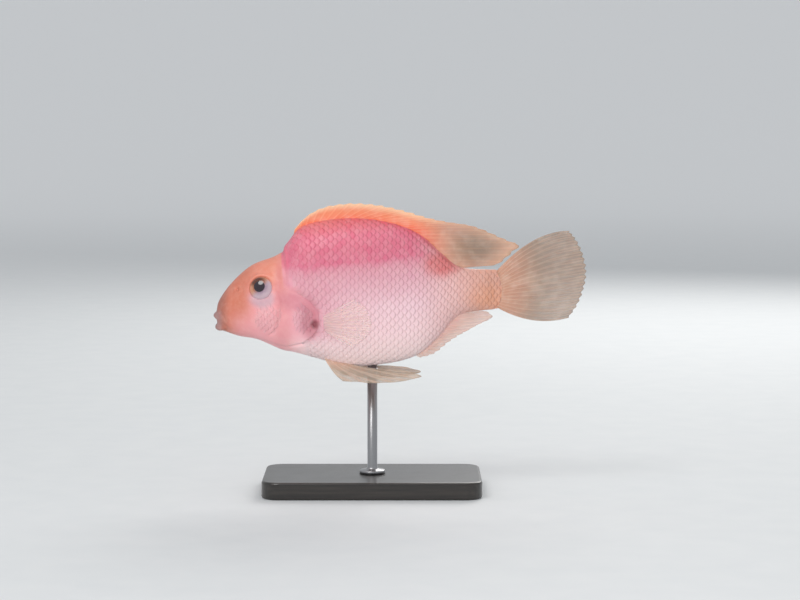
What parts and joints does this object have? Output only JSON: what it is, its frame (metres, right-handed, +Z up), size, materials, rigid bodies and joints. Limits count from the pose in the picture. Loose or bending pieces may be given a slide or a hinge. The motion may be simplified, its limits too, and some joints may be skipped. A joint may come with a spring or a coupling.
{
  "type": "blood parrot cichlid model",
  "caption": "Still, life-size model of a blood parrot cichlid in a level swimming pose, held on a plain flat base by a short rod.",
  "frame": {"origin": "centre of the stand base's underside, where the model rests on a table or shelf, straight below the rod", "axes": "+X along the fish from the lips towards the tail, so the head points to -X; the fish's left side faces -Y; +Z up"},
  "size_m": [0.1509, 0.05, 0.1166],
  "materials": {
    "skin_head": "satin salmon-orange fish skin",
    "skin_lips": "satin fleshy pink lips",
    "skin_gill": "satin pink gill cover with fine scales",
    "skin_body": "satin rose-pink scaled skin, paling to lilac-white on the belly",
    "skin_stalk": "satin orange-pink scaled skin",
    "eye": "glossy orange-brown and silver iris",
    "pupil": "glossy near-black pupil",
    "fin_dorsal": "translucent orange membrane with a cream margin",
    "fin_rear": "translucent peach membrane on soft rays",
    "fin_under": "translucent pale cream membrane on soft rays",
    "stand_rod": "brushed steel rod",
    "stand_base": "satin black lacquered board"
  },
  "bodies": {
    "root": {"head": "skin_head", "upper_lip": "skin_lips", "lower_lip": "skin_lips", "gill_cover_left": "skin_gill", "gill_cover_right": "skin_gill", "eye_left": "eye", "eye_right": "eye", "pupil_left": "pupil", "pupil_right": "pupil", "trunk": "skin_body", "tail_stalk": "skin_stalk", "dorsal_fin": "fin_dorsal", "caudal_fin": "fin_rear", "anal_fin": "fin_rear", "pelvic_fin_left": "fin_under", "pelvic_fin_right": "fin_under", "pectoral_fin_left": "fin_under", "pectoral_fin_right": "fin_under", "stand_rod": "stand_rod", "stand_base": "stand_base"}
  },
  "joints": []
}
